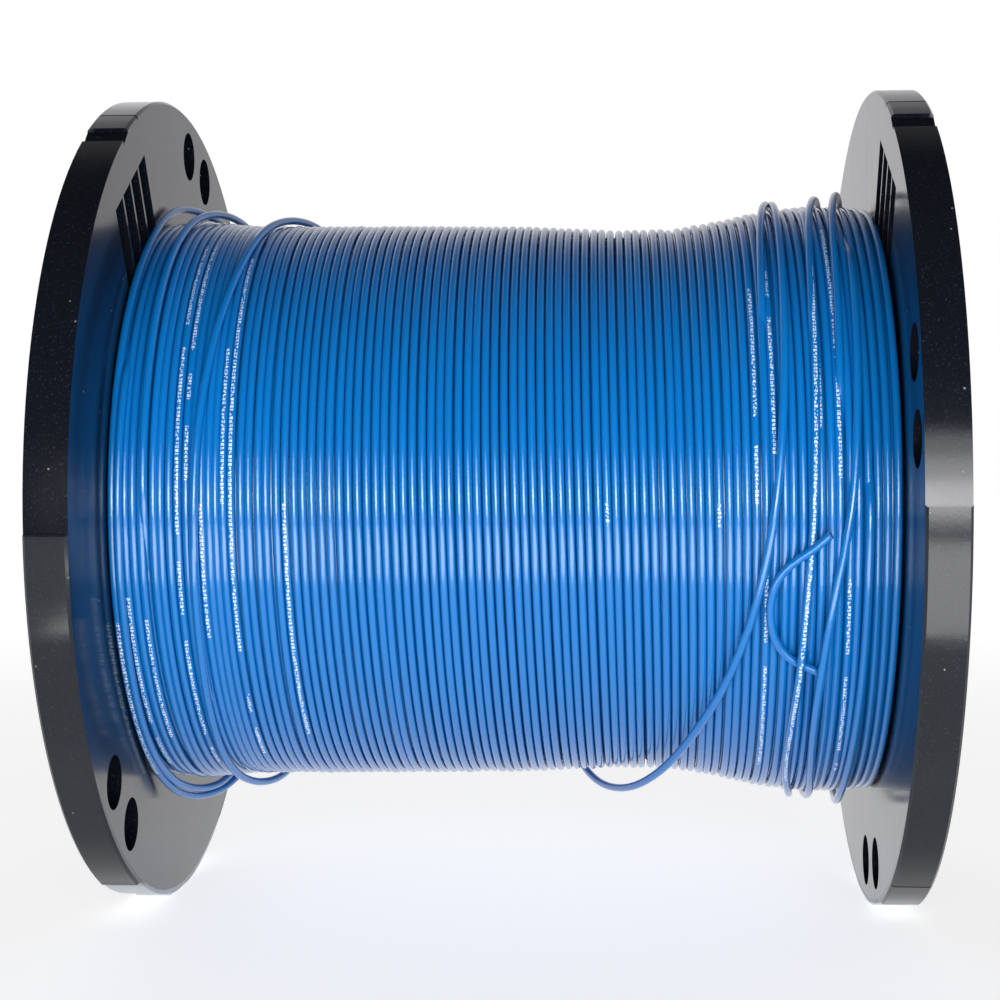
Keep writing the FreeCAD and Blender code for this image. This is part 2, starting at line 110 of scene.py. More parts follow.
def tube_arrays(path, radius, sides, u0=0.0, twist=0.0, closed=False, hint=None):
    """Rings of vertices round a path, with u along it in metres and v round it: v = 0.5 faces hint (outwards)."""
    p = np.asarray(path, dtype=float)
    if closed:
        t = np.roll(p, -1, 0) - np.roll(p, 1, 0)
    else:
        t = np.gradient(p, axis=0)
    t /= np.linalg.norm(t, axis=1)[:, None]
    if hint is None:
        hint = p * np.array([0.0, 1.0, 1.0])
    n = hint - (hint * t).sum(1)[:, None] * t
    n /= np.linalg.norm(n, axis=1)[:, None]
    b = np.cross(t, n)
    ang = np.linspace(-math.pi, math.pi, sides + 1)[:sides]
    tw = np.broadcast_to(np.asarray(twist, dtype=float), (len(p),))
    ring = p[:, None, :] + radius * (np.cos(ang)[None, :, None] * n[:, None, :] + np.sin(ang)[None, :, None] * b[:, None, :])
    verts = ring.reshape(-1, 3)
    step = np.linalg.norm(np.diff(p, axis=0, append=p[:1] if closed else p[-1:]), axis=1)
    u = u0 + np.concatenate([[0.0], np.cumsum(step)])
    m = len(p)
    rows = m if closed else m - 1
    i = np.arange(rows)[:, None]
    j = np.arange(sides)[None, :]
    i2, j2 = (i + 1) % m, (j + 1) % sides
    faces = np.stack([i * sides + j, i2 * sides + j, i2 * sides + j2, i * sides + j2], -1).reshape(-1, 4)
    v0, v1 = j / sides, (j + 1) / sides
    twa, twb = tw[:rows], tw[(np.arange(rows) + 1) % m]
    blank = np.abs(twa - twb) > 2
    twa, twb = np.where(blank, 8.0, twa)[:, None], np.where(blank, 8.0, twb)[:, None]
    ua, ub = u[:rows][:, None], u[1:rows + 1][:, None]
    uv = np.stack([
        np.stack([ua + 0 * v0, v0 + twa[:rows]], -1),
        np.stack([ub + 0 * v0, v0 + twb], -1),
        np.stack([ub + 0 * v1, v1 + twb], -1),
        np.stack([ua + 0 * v1, v1 + twa[:rows]], -1),
    ], 2)
    return verts, faces, uv.reshape(-1, 2), float(u[-1])


class Batch:
    """Several tubes in one mesh."""

    def __init__(self):
        self.v, self.f, self.uv, self.n = [], [], [], 0

    def add(self, verts, faces, uv):
        self.v.append(verts)
        self.f.append(faces + self.n)
        self.uv.append(uv)
        self.n += len(verts)

    def build(self, name):
        return mesh_object(name, np.concatenate(self.v), np.concatenate(self.f), np.concatenate(self.uv))


def nodes_of(mat):
    mat.use_nodes = True
    nt = mat.node_tree
    nt.nodes.clear()
    out = nt.nodes.new("ShaderNodeOutputMaterial")
    bsdf = nt.nodes.new("ShaderNodeBsdfPrincipled")
    nt.links.new(bsdf.outputs[0], out.inputs[0])
    return nt, bsdf


def node(nt, kind, **values):
    n = nt.nodes.new(kind)
    for k, val in values.items():
        if k.startswith("in_"):
            key = k[3:]
            n.inputs[int(key) if key.isdigit() else key].default_value = val
        else:
            setattr(n, k, val)
    return n


def math_node(nt, op, a, b=None, c=None, clamp=False):
    n = nt.nodes.new("ShaderNodeMath")
    n.operation = op
    n.use_clamp = clamp
    for i, x in enumerate((a, b, c)):
        if x is None:
            continue
        if isinstance(x, (int, float)):
            n.inputs[i].default_value = x
        else:
            nt.links.new(x, n.inputs[i])
    return n.outputs[0]


def mix_color(nt, fac, a, b):
    n = nt.nodes.new("ShaderNodeMix")
    n.data_type = "RGBA"
    for s, x in ((n.inputs[0], fac), (n.inputs[6], a), (n.inputs[7], b)):
        if isinstance(x, (int, float)):
            s.default_value = x
        elif isinstance(x, tuple):
            s.default_value = x
        else:
            nt.links.new(x, s)
    return n.outputs[2]


def ramp(nt, fac, stops):
    n = nt.nodes.new("ShaderNodeValToRGB")
    e = n.color_ramp.elements
    e[0].position, e[0].color = stops[0][0], stops[0][1]
    e[1].position, e[1].color = stops[-1][0], stops[-1][1]
    for pos, col in stops[1:-1]:
        k = e.new(pos)
        k.color = col
    nt.links.new(fac, n.inputs[0])
    return n.outputs[0]


def grey(v):
    return (v, v, v, 1.0)


# ------------------------------------------------------------------ materials


def wire_material():
    mat = bpy.data.materials.new("wire_jacket")
    nt, b = nodes_of(mat)
    uv = node(nt, "ShaderNodeUVMap", uv_map="along")
    sep = nt.nodes.new("ShaderNodeSeparateXYZ")
    nt.links.new(uv.outputs[0], sep.inputs[0])
    u, v = sep.outputs[0], sep.outputs[1]
    # colour: slow change along the wire, and a faint mottle
    comb = nt.nodes.new("ShaderNodeCombineXYZ")
    nt.links.new(math_node(nt, "MULTIPLY", u, 9.0), comb.inputs[0])
    slow = node(nt, "ShaderNodeTexNoise", in_Scale=1.0, in_Detail=2.0)
    nt.links.new(comb.outputs[0], slow.inputs["Vector"])
    geo = nt.nodes.new("ShaderNodeTexCoord")
    fine = node(nt, "ShaderNodeTexNoise", in_Scale=900.0, in_Detail=3.0)
    nt.links.new(geo.outputs["Object"], fine.inputs["Vector"])
    blue = mix_color(nt, slow.outputs[0], (0.0010, 0.112, 0.37, 1), (0.0020, 0.148, 0.46, 1))
    blue = mix_color(nt, math_node(nt, "MULTIPLY", fine.outputs[0], 0.25), blue, (0.004, 0.155, 0.47, 1))
    # a row of small white marks along one side of the wire: no letters, only ticks
    cell = math_node(nt, "FLOOR", math_node(nt, "MULTIPLY", u, 1000 / 1.32))
    part = math_node(nt, "FRACT", math_node(nt, "MULTIPLY", u, 1000 / 1.32))
    cv = nt.nodes.new("ShaderNodeCombineXYZ")
    nt.links.new(cell, cv.inputs[0])
    wn = node(nt, "ShaderNodeTexWhiteNoise", noise_dimensions="1D")
    nt.links.new(cell, wn.inputs["W"])
    word = math_node(nt, "FLOOR", math_node(nt, "MULTIPLY", u, 1000 / 9.3))
    ww = node(nt, "ShaderNodeTexWhiteNoise", noise_dimensions="1D")
    nt.links.new(math_node(nt, "ADD", word, 0.37), ww.inputs["W"])
    # across: v runs once round the wire; the row is 1.3 mm high, centred where v is a whole number plus a half
    across = math_node(nt, "SUBTRACT", math_node(nt, "FRACT", v), 0.5)
    # three strokes high, each there or not
    lane = math_node(nt, "FLOOR", math_node(nt, "MULTIPLY", across, 30.0))
    wl = node(nt, "ShaderNodeTexWhiteNoise", noise_dimensions="2D")
    lv = nt.nodes.new("ShaderNodeCombineXYZ")
    nt.links.new(math_node(nt, "FLOOR", math_node(nt, "MULTIPLY", u, 2200 / 1.32)), lv.inputs[0])
    nt.links.new(lane, lv.inputs[1])
    nt.links.new(lv.outputs[0], wl.inputs["Vector"])
    in_row = math_node(nt, "LESS_THAN", math_node(nt, "ABSOLUTE", across), 0.066)
    stroke = math_node(nt, "LESS_THAN", part, 0.70)
    there = math_node(nt, "GREATER_THAN", wl.outputs[0], 0.38)
    shown = math_node(nt, "GREATER_THAN", ww.outputs[0], 0.12)
    ink = math_node(nt, "MULTIPLY", math_node(nt, "MULTIPLY", in_row, stroke), math_node(nt, "MULTIPLY", there, shown))
    # v far outside 0..1 marks stretches whose row faces inwards, where nothing is printed
    ink = math_node(nt, "MULTIPLY", ink, math_node(nt, "LESS_THAN", math_node(nt, "ABSOLUTE", v), 5.0))
    col = mix_color(nt, math_node(nt, "MULTIPLY", ink, 0.85), blue, (0.62, 0.72, 0.84, 1))
    nt.links.new(col, b.inputs["Base Color"])
    rough = math_node(nt, "MULTIPLY_ADD", fine.outputs[0], 0.10, 0.13)
    rough = math_node(nt, "ADD", rough, math_node(nt, "MULTIPLY", ink, 0.2))
    nt.links.new(rough, b.inputs["Roughness"])
    b.inputs["IOR"].default_value = 1.53
    b.inputs["Coat Weight"].default_value = 0.35
    b.inputs["Coat Roughness"].default_value = 0.09
    bump = node(nt, "ShaderNodeBump", in_Strength=0.22, in_Distance=0.00008)
    nt.links.new(fine.outputs[0], bump.inputs["Height"])
    nt.links.new(bump.outputs[0], b.inputs["Normal"])
    return mat


def flange_material():
    mat = bpy.data.materials.new("flange_plastic")
    nt, b = nodes_of(mat)
    tc = nt.nodes.new("ShaderNodeTexCoord")
    # long fine marks of the mould, up and down the faces
    mp = node(nt, "ShaderNodeMapping")
    mp.inputs["Scale"].default_value = (40.0, 900.0, 14.0)
    nt.links.new(tc.outputs["Object"], mp.inputs["Vector"])
    streak = node(nt, "ShaderNodeTexNoise", in_Scale=1.0, in_Detail=4.0, in_Roughness=0.6)
    nt.links.new(mp.outputs[0], streak.inputs["Vector"])
    cloud = node(nt, "ShaderNodeTexNoise", in_Scale=22.0, in_Detail=5.0)
    nt.links.new(tc.outputs["Object"], cloud.inputs["Vector"])
    grain = node(nt, "ShaderNodeTexNoise", in_Scale=1400.0, in_Detail=2.0)
    nt.links.new(tc.outputs["Object"], grain.inputs["Vector"])
    # specks of dust and small scuffs
    vor = node(nt, "ShaderNodeTexVoronoi", in_Scale=210.0)
    nt.links.new(tc.outputs["Object"], vor.inputs["Vector"])
    speck = math_node(nt, "LESS_THAN", vor.outputs["Distance"], 0.075)
    wn = node(nt, "ShaderNodeTexWhiteNoise", noise_dimensions="3D")
    nt.links.new(vor.outputs["Position"], wn.inputs["Vector"])
    speck = math_node(nt, "MULTIPLY", speck, math_node(nt, "GREATER_THAN", wn.outputs[0], 0.86))
    base = mix_color(nt, cloud.outputs[0], (0.0028, 0.0034, 0.0060, 1), (0.0052, 0.0062, 0.0105, 1))
    base = mix_color(nt, math_node(nt, "MULTIPLY", speck, 0.35), base, (0.35, 0.37, 0.42, 1))
    # the lowest stretch of the rim is painted pale: a painted reflection of the bright floor in the relieved flats
    sp3 = nt.nodes.new("ShaderNodeSeparateXYZ")
    nt.links.new(tc.outputs["Object"], sp3.inputs[0])
    px, py, pz = sp3.outputs[0], sp3.outputs[1], sp3.outputs[2]
    rad = math_node(nt, "SQRT", math_node(nt, "ADD", math_node(nt, "MULTIPLY", py, py), math_node(nt, "MULTIPLY", pz, pz)))
    dust = math_node(nt, "MULTIPLY", math_node(nt, "SUBTRACT", grain.outputs[0], 0.60), 7.0, clamp=True)
    base = mix_color(nt, math_node(nt, "MULTIPLY", dust, 0.35), base, (0.040, 0.052, 0.078, 1))
    on_rim = math_node(nt, "GREATER_THAN", rad, 0.1497)
    # the relieved stretch starts lower down on the right flange than on the left one
    edge = math_node(nt, "MULTIPLY_ADD", math_node(nt, "GREATER_THAN", px, 0.0), 0.0072, 0.1358)
    low = math_node(nt, "MULTIPLY", math_node(nt, "SUBTRACT", math_node(nt, "MULTIPLY", pz, -1.0), edge), 260.0, clamp=True)
    painted_reflection_mask = math_node(nt, "MULTIPLY", math_node(nt, "MULTIPLY", on_rim, low), math_node(nt, "MULTIPLY_ADD", cloud.outputs[0], 0.5, 0.6), clamp=True)
    # painted reflection: the pale colour stands in for the bright floor mirrored in the lowest stretch of the rim
    base = mix_color(nt, painted_reflection_mask, base, (0.52, 0.55, 0.58, 1))
    nt.links.new(base, b.inputs["Base Color"])
    r = math_node(nt, "MULTIPLY_ADD", streak.outputs[0], 0.13, 0.05)
    r = math_node(nt, "MULTIPLY_ADD", cloud.outputs[0], 0.06, r)
    r = math_node(nt, "MULTIPLY_ADD", painted_reflection_mask, 0.4, r)
    r = math_node(nt, "MULTIPLY_ADD", speck, 0.3, r)
    nt.links.new(r, b.inputs["Roughness"])
    b.inputs["IOR"].default_value = 1.46
    # painted shade: the rim's reflection is turned down towards the ground, standing in for the shadowed floor it
    # mirrors
    painted_shade_dimming = math_node(nt, "MULTIPLY", on_rim, math_node(nt, "MULTIPLY", math_node(nt, "SUBTRACT", math_node(nt, "MULTIPLY", pz, -1.0), 0.088), 40.0, clamp=True))
    nt.links.new(math_node(nt, "MULTIPLY_ADD", painted_shade_dimming, -0.26, 0.5), b.inputs["Specular IOR Level"])
    mixh = math_node(nt, "MULTIPLY_ADD", streak.outputs[0], 0.6, math_node(nt, "MULTIPLY", grain.outputs[0], 0.4))
    bump = node(nt, "ShaderNodeBump", in_Strength=0.18, in_Distance=0.00012)
    nt.links.new(mixh, bump.inputs["Height"])
    nt.links.new(bump.outputs[0], b.inputs["Normal"])
    return mat


def plain_material(name, dark, light, rough, metallic=0.0, scale=300.0, bump_d=0.00005):
    mat = bpy.data.materials.new(name)
    nt, b = nodes_of(mat)
    tc = nt.nodes.new("ShaderNodeTexCoord")
    n1 = node(nt, "ShaderNodeTexNoise", in_Scale=scale, in_Detail=4.0)
    nt.links.new(tc.outputs["Object"], n1.inputs["Vector"])
    nt.links.new(mix_color(nt, n1.outputs[0], dark, light), b.inputs["Base Color"])
    nt.links.new(math_node(nt, "MULTIPLY_ADD", n1.outputs[0], 0.2, rough), b.inputs["Roughness"])
    b.inputs["Metallic"].default_value = metallic
    bump = node(nt, "ShaderNodeBump", in_Strength=0.25, in_Distance=bump_d)
    nt.links.new(n1.outputs[0], bump.inputs["Height"])
    nt.links.new(bump.outputs[0], b.inputs["Normal"])
    return mat


WIRE_MAT = wire_material()
FLANGE_MAT = flange_material()
BARREL_MAT = plain_material("barrel_plastic", (0.018, 0.018, 0.020, 1), (0.035, 0.035, 0.04, 1), 0.38, scale=120.0)
ZINC_MAT = plain_material("zinc_steel", (0.50, 0.51, 0.53, 1), (0.72, 0.73, 0.74, 1), 0.24, 1.0, 500.0)
COPPER_MAT = plain_material("copper_strand", (0.72, 0.30, 0.16, 1), (0.90, 0.45, 0.27, 1), 0.22, 1.0, 900.0)
CORE_MAT = plain_material("wire_shadow", (0.002, 0.05, 0.20, 1), (0.004, 0.09, 0.32, 1), 0.40, scale=400.0)

for name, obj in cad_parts.items():
    if name.startswith("flange"):
        mat = FLANGE_MAT
    elif name == "barrel":
        mat = BARREL_MAT
    elif name.startswith(("washer", "tie_bolt", "lock_nut")):
        mat = ZINC_MAT
    else:
        mat = WIRE_MAT
    obj.data.materials.clear()
    obj.data.materials.append(mat)

# ------------------------------------------------------------------ the winding
# crown radius of the last layer along the axis, mm
PACK = [(-131.6, 106.5), (-118.0, 107.5), (-100.0, 105.6), (-60.0, 105.2), (0.0, 104.4), (36.0, 102.6), (58.0, 102.6),
        (74.0, 105.2), (90.0, 108.6), (106.0, 110.6), (120.0, 110.4), (131.6, 109.0)]
PX = np.array([p[0] for p in PACK]) / 1000
PR = np.array([p[1] for p in PACK]) / 1000


def crown(x):
    return np.interp(x, PX, PR)


def around(x, r, deg):
    a = math.radians(deg)
    return (x, -r * math.cos(a), r * math.sin(a))


SIDES = 10
SEG = 84


def lean(x):
    """How far the turns lean: the lower half of a turn lies this much further along than the upper half."""
    return np.interp(x, [-0.13, -0.085, -0.03, 0.02, 0.06, 0.085, 0.13], [0.0001, 0.0006, 0.0016, 0.0023, 0.0020, 0.0006, 0.0001])


# where the turns of the uneven left part cross the front, mm
LEFT = [-130.2, -126.3, -123.5, -120.7, -116.6, -114.1, -111.2, -108.4, -105.6, -103.0, -100.4, -97.9, -95.6, -93.4, -90.5,
        -87.2, -84.5, -81.4, -78.6, -75.4, -72.3, -69.3]
# and of the right part
RIGHT = [72.4, 75.6, 78.3, 81.4, 84.3, 87.6, 90.2, 93.6, 96.3, 99.4, 102.5, 105.4, 108.5, 111.2, 114.4, 117.3, 120.3, 123.6, 126.7, 130.2]


def path_from(x, a, r):
    return np.stack([x, -r * np.cos(a), r * np.sin(a)], -1)


def smooth_noise(n, cells, seed):
    g = np.random.default_rng(seed)
    k = g.normal(size=cells + 3)
    t = np.linspace(0, cells, n)
    i = np.floor(t).astype(int)
    f = t - i
    f = f * f * (3 - 2 * f)
    return k[i] * (1 - f) + k[i + 1] * f


def layer(name, fronts, depth, seed, printed=(), wob=0.00012, lift_noise=0.00012, chunk=80):
    """Turns through the given front crossings, one after another; printed is a list of (mm, from degrees, to degrees, drift)."""
    fronts = np.asarray(fronts)
    turns = len(fronts) - 1
    n = (turns + 1) * SEG + 1
    k = np.linspace(-0.5, turns + 0.5, n)
    a = np.radians(-360.0 * k)
    x = np.interp(k, np.arange(turns + 1), fronts)
    x = x - lean(x) * np.sin(a) + wob * smooth_noise(n, turns * 3, seed)
    x = np.clip(x, -HALF + WIRE + 0.0005, HALF - WIRE - 0.0005)
    r = crown(x) - WIRE - depth + lift_noise * smooth_noise(n, turns * 4, seed + 1)
    p = path_from(x, a, r)
    tw = np.full(n, 8.0)
    for mm, deg0, deg1, drift in printed:
        near = int(np.argmin(np.abs(fronts - mm / 1000)))
        ka, kb = near - deg0 / 360.0, near - deg1 / 360.0
        sel = (k >= ka) & (k <= kb)
        tw[sel] = drift * (k[sel] - (ka + kb) / 2)
    made = []
    u0 = 0.0
    for c, first in enumerate(range(0, turns + 1, chunk)):
        last = min(turns + 1, first + chunk)
        sl = slice(first * SEG, last * SEG + 1)
        v, f, uv, u0 = tube_arrays(p[sl], WIRE, SIDES, u0=u0, twist=tw[sl])
        made.append(mesh_object("%s_%d" % (name, c + 1), v, f, uv))
    return made


wound = []
middle = np.linspace(-0.0693, 0.0724, 47)[1:-1]
fronts = np.concatenate([np.array(LEFT) / 1000, middle, np.array(RIGHT) / 1000])
PRINT = [(-108.4, 62, -66, 0.15), (-105.6, 72, 2, 0.3), (-93.4, 32, -2, 0.2), (-90.5, 58, -62, 0.1), (-100.4, 0, -28, 0.3),
         (-126.3, -14, -66, 0.2), (-120.7, -18, -54, 0.2), (-72.3, 4, -53, 0.3), (84.3, 46, -1, 0.1), (90.2, 49, 8, 0.2),
         (111.2, 63, 3, 0.2), (105.4, 26, 9, 0.2), (87.6, -5, -62, 0.15), (114.4, -12, -60, 0.2), (35.3, 3, -7, 1.5), (71.3, 3, -8, 1.5),
         (-20.0, 196, 148, 0.2), (-52.0, 250, 175, 0.2), (30.0, 240, 190, 0.2), (64.0, 215, 150, 0.2)]
wound += layer("turns_top", fronts, 0.0, 5, printed=PRINT)
wound += layer("turns_under", np.linspace(-0.1287, 0.1287, 86), 0.0026, 9)

# turns that left their place: they ride over the others, cross them or stand off the coil
# (x mm, degrees from the front upwards, height of the wire's centre over the crowns, mm)
STRAY = {
    "edge": ([(-109.0, 150, 1.2), (-111.5, 128, 1.6), (-115.0, 112, 2.8), (-119.8, 101, 4.2), (-124.6, 92, 5.2), (-128.4, 83, 5.2), (-130.0, 73, 3.6),
              (-130.2, 60, 1.4), (-130.3, 42, 0.2), (-130.4, 22, -0.2), (-130.4, 0, -0.3), (-130.4, -22, 0.0), (-130.4, -42, 0.8), (-130.2, -56, 2.2),
              (-129.4, -67, 4.2), (-127.2, -76, 6.4), (-123.5, -84, 7.6), (-118.6, -92, 7.2), (-114.0, -101, 5.8), (-110.6, -114, 3.8),
              (-108.6, -134, 2.0), (-107.5, -160, 1.2)], [(-20, -64)]),
    "sag": ([(-127.6, 20, 0.9), (-128.0, -6, 1.0), (-128.2, -28, 1.1), (-128.4, -48, 1.5), (-127.8, -62, 2.4), (-125.6, -73, 3.8), (-121.6, -83, 4.4),
             (-117.2, -93, 3.8), (-114.4, -108, 2.4), (-113.2, -130, 1.2), (-112.8, -150, 0.6)], []),
    "sag_inner": ([(-102.9, -8, 0.8), (-103.3, -28, 1.1), (-103.6, -46, 1.3), (-103.2, -59, 1.9), (-101.4, -70, 2.9), (-98.2, -79, 3.4), (-94.3, -88, 3.0),
                   (-91.2, -101, 2.0), (-89.6, -120, 1.2), (-89.0, -140, 0.7)], []),
    "crest": ([(-119.4, 4, 0.5), (-119.7, 28, 1.0), (-119.8, 46, 1.4), (-119.2, 60, 2.0), (-117.4, 71, 2.7), (-114.4, 80, 3.0), (-110.8, 90, 2.6),
               (-107.6, 103, 1.8), (-105.8, 124, 1.2), (-105.2, 145, 0.7)], []),
    "crossing": ([(-71.0, 122, 0.9), (-75.0, 108, 1.4), (-79.6, 96, 1.8), (-84.0, 86, 1.9), (-87.9, 77, 1.8), (-90.6, 69, 1.65), (-92.4, 61, 1.5),
                  (-94.0, 53, 1.4), (-95.6, 46, 1.35), (-97.2, 39, 1.3), (-98.7, 32, 1.3), (-99.9, 25, 1.25), (-101.0, 18, 1.2), (-101.9, 10, 1.1),
                  (-102.4, 0, 1.0), (-102.8, -14, 0.7), (-103.0, -34, 0.3)], []),
    "right_crest": ([(111.8, 26, 0.8), (112.6, 42, 1.2), (113.6, 56, 1.8), (115.4, 67, 2.8), (118.0, 77, 3.8), (121.2, 87, 4.0), (124.2, 98, 3.2),
                     (126.4, 114, 1.8), (127.6, 134, 1.0)], [(30, 62)]),
    "right_crest_2": ([(103.6, 34, 0.9), (104.6, 50, 1.2), (106.6, 64, 1.8), (109.8, 76, 2.4), (113.2, 87, 2.3), (116.2, 100, 1.7), (117.8, 120, 1.0)], []),
    "right_crest_3": ([(87.6, 42, 0.9), (88.8, 58, 1.3), (90.8, 71, 1.9), (93.6, 82, 2.2), (96.6, 94, 1.8), (98.4, 112, 1.1)], []),
    "over_end": ([(105.2, 66, 0.9), (104.6, 48, 1.0), (104.0, 30, 1.0), (103.4, 14, 1.0), (102.8, 2, 0.9), (102.2, -6, 0.9), (101.3, -13, 1.5),
                  (100.3, -20, 3.2), (99.4, -27, 4.5), (98.6, -34, 4.0), (97.8, -42, 2.4), (97.3, -53, 1.5), (98.4, -63, 1.4), (100.6, -73, 1.4),
                  (102.8, -86, 1.3), (104.0, -108, 1.1), (104.4, -135, 0.9)], [(62, -64)]),
    "over_root": ([(118.4, 46, 0.8), (117.6, 26, 0.9), (116.4, 10, 1.0), (114.8, 0, 1.2), (112.3, -8, 1.7), (109.5, -16, 2.7), (107.3, -23.5, 3.9),
                   (105.9, -30.5, 4.6), (105.2, -38, 4.0), (105.3, -47, 2.5), (106.3, -58, 1.5), (107.8, -70, 1.4), (108.8, -86, 1.3), (109.2, -110, 1.0)], []),
    "low_right": ([(120.6, -4, 0.7), (120.2, -26, 0.9), (119.6, -44, 1.2), (119.0, -58, 2.0), (118.8, -70, 3.0), (119.4, -80, 3.4), (120.8, -91, 2.8),
                   (122.2, -106, 1.7), (122.8, -128, 0.9)], []),
}


def spline(points, fine):
    """A smooth line through all the given points."""
    p = np.array(points, dtype=float)
    ext = np.concatenate([[2 * p[0] - p[1]], p, [2 * p[-1] - p[-2]]])
    out = []
    for k in range(len(p) - 1):
        a0, a1, a2, a3 = ext[k:k + 4]
        t = np.linspace(0, 1, fine, endpoint=False)[:, None]
        out.append(0.5 * (2 * a1 + (a2 - a0) * t + (2 * a0 - 5 * a1 + 4 * a2 - a3) * t ** 2 + (3 * a1 - a0 - 3 * a2 + a3) * t ** 3))
    return np.concatenate(out + [p[-1:]])


stray = Batch()
for key, (table, rows) in STRAY.items():
    # both ends go down between the turns under them
    step0 = 9 if table[0][1] > table[1][1] else -9
    first, last = table[0], table[-1]
    table = [(first[0], first[1] + 2 * step0, -4.6), (first[0], first[1] + step0, -2.2)] + table + [
        (last[0], last[1] - step0, -2.2), (last[0], last[1] - 2 * step0, -4.6)]
    q3 = spline(table, 9)
    x, deg, h = q3[:, 0] / 1000, q3[:, 1], q3[:, 2] / 1000
    line = path_from(x, np.radians(deg), crown(x) + h)
    tw = np.full(len(line), 8.0)
    for hi_deg, lo_deg in rows:
        sel = (deg <= hi_deg) & (deg >= lo_deg)
        tw[sel] = 0.0
    v, f, uv, _ = tube_arrays(line, WIRE, 12, twist=tw)
    stray.add(v, f, uv)
wound.append(stray.build("turns_stray"))

# ends of the lower layers, seen through the start slots
ends = Batch()
r = 0.0650
while r < base_hi[2] - 0.001:
    for sx in (-1, 1):
        a = np.linspace(0, 2 * math.pi, 72, endpoint=False)
        x = np.full(72, sx * 0.1301)
        v, f, uv, _ = tube_arrays(path_from(x, a, np.full(72, r)), WIRE, 8, twist=8.0, closed=True)
        ends.add(v, f, uv)
    r += 0.00262
wound.append(ends.build("turns_inner_ends"))

# body of the lower layers, out of sight under the turns
prof = [(-0.1288, 0.0640), (-0.1288, 0.0976), (0.1288, 0.0976), (0.1288, 0.0640)]
a = np.linspace(0, 2 * math.pi, 96, endpoint=False)
verts = np.concatenate([path_from(np.full(96, x), a, np.full(96, rr)) for x, rr in prof])
faces = []
for s in range(4):
    for k in range(96):
        k2 = (k + 1) % 96
        s2 = (s + 1) % 4
        faces.append((s * 96 + k, s * 96 + k2, s2 * 96 + k2, s2 * 96 + k))
core = mesh_object("turns_core", verts, faces, smooth=False)
core.data.materials.append(CORE_MAT)
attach(core, "root")
for o in wound:
    o.data.materials.append(WIRE_MAT)
    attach(o, "root")
for o in wound:
    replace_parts(o, "wire_top_layers") if o.name.startswith("turns_top") else None
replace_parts(core, "wire_base_layers")

# ------------------------------------------------------------------ loose stretches, routed as in the CAD
SLACK = [(97.0, 118, 3.0), (96.6, 98, 3.6), (95.8, 78, 3.4), (95.2, 58, 3.2), (94.6, 38, 3.2), (93.6, 19, 3.2), (91.0, 1, 3.4),
         (85.5, -16, 3.8), (76.5, -32, 4.6), (65.5, -47, 5.4), (54.5, -62, 7.2), (42.0, -77, 8.6), (29.5, -93, 8.0),
         (19.5, -110, 5.0), (13.5, -128, 3.8), (10.5, -147, 3.2)]
END = [(107.5, -30.6, 1.7), (103.0, -29.6, 1.7), (98.5, -28.6, 1.7), (94.5, -27.2, 1.8), (91.0, -24.6, 1.9),
       (89.1, -21.0, 2.0), (88.9, -17.0, 2.1), (90.6, -13.4, 2.3), (93.8, -10.9, 2.6), (98.5, -8.9, 3.0), (103.2, -7.2, 3.6), (107.6, -5.0, 4.4)]


def loose(name, table):
    pts = [around(x / 1000, float(crown(x / 1000)) + h / 1000, d) for x, d, h in table]
    cu = bpy.data.curves.new(name + "_line", "CURVE")
    cu.dimensions = "3D"
    sp_ = cu.splines.new("NURBS")
    sp_.points.add(len(pts) - 1)
    for q_, p_ in zip(sp_.points, pts):
        q_.co = (*p_, 1.0)
    sp_.order_u = 3
    sp_.use_endpoint_u = True
    sp_.resolution_u = 12
    tmp = link(bpy.data.objects.new(name + "_line", cu))
    bpy.context.view_layer.update()
    me = bpy.data.meshes.new_from_object(tmp)
    line = np.array([v.co[:] for v in me.vertices])
    bpy.data.objects.remove(tmp)
    bpy.data.curves.remove(cu)
    bpy.data.meshes.remove(me)
    return pts, line


def capped(name, line, twist, strands=False):
    """A tube with domed-flat ends; the strands argument is not used."""
    v, f, uv, length = tube_arrays(line, WIRE, 16, twist=twist)
    n = 16
    obj_v = [v]
    extra_f, extra_uv = [], []
    top = len(v)
    for row, centre in ((0, line[0]), (len(line) - 1, line[-1])):
        obj_v.append(np.array([centre]))
        ring = [row * n + k for k in range(n)]
        if row == 0:
            ring = ring[::-1]
        for k in range(0, n, 2):
            extra_f.append((ring[k], ring[k + 1], ring[(k + 2) % n], top))
            extra_uv += [(0, 8.5)] * 4
        top += 1
    obj = mesh_object(name, np.concatenate(obj_v), np.concatenate([f, np.array(extra_f)]), np.concatenate([uv, np.array(extra_uv, dtype=float)]))
    return obj, length


slack_pts, slack_line = loose("slack", SLACK)
slack, slack_len = capped("loose_turn", slack_line, 8.0)
end_pts, end_line = loose("end", END)
endp, end_len = capped("outer_end", end_line, 8.0)
